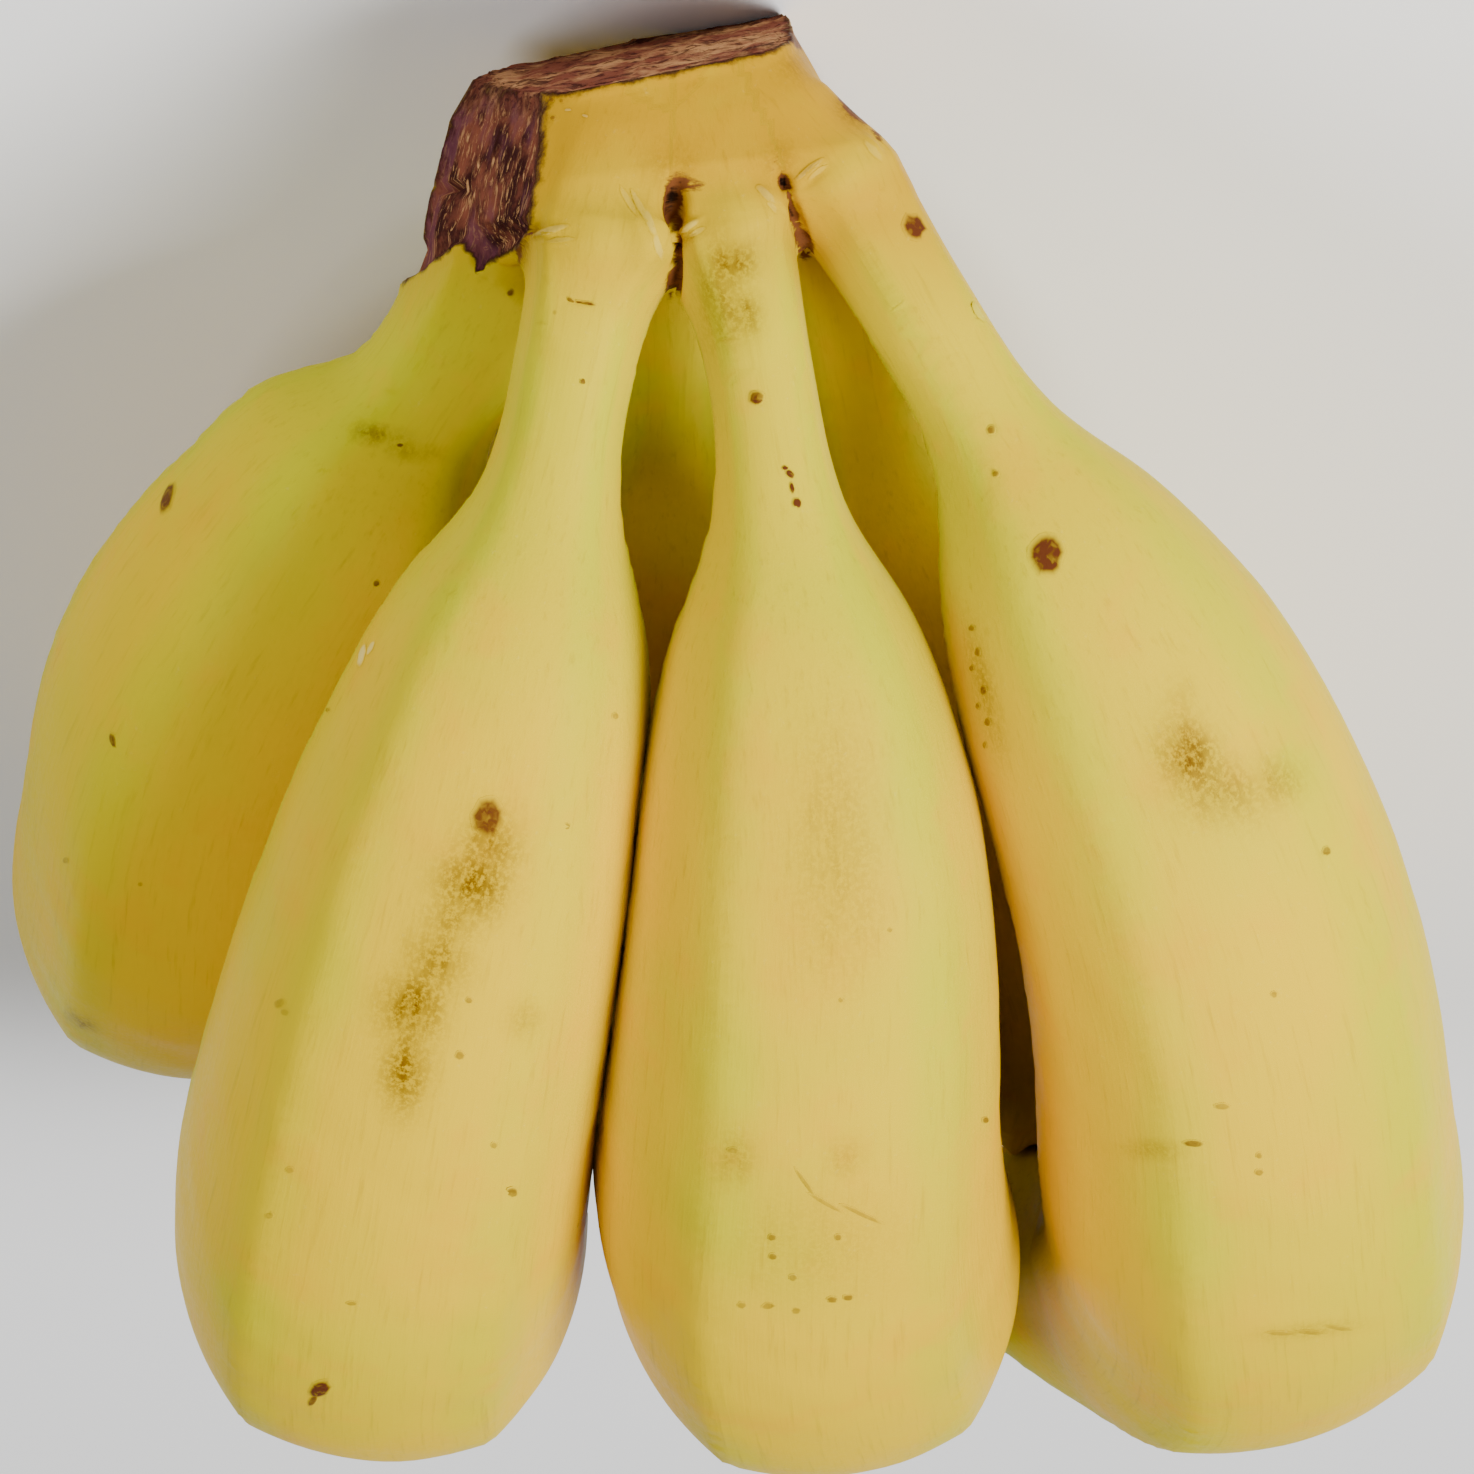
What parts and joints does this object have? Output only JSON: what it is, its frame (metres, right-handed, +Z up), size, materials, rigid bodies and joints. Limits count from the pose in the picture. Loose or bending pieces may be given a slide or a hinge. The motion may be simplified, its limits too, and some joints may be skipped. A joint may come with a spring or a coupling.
{
  "type": "bunch of bananas",
  "caption": "Bunch of ripe bananas in two rows on one cut crown, lying palm down on its crown and inner tips; a whole piece of fruit for a shelf, table or bowl.",
  "frame": {"origin": "bottom centre of the bounding box, on the floor that the bunch rests on", "axes": "+Y from the crown towards the finger tips, +X across the rows of fingers, +Z up, away from the palm"},
  "size_m": [0.1592, 0.1866, 0.1034],
  "materials": {
    "peel": "satin ripe yellow skin with greenish ridges, brown bruises and specks; the cut crown is dry brown cork"
  },
  "bodies": {
    "root": {"banana_bunch": "peel"}
  },
  "joints": []
}
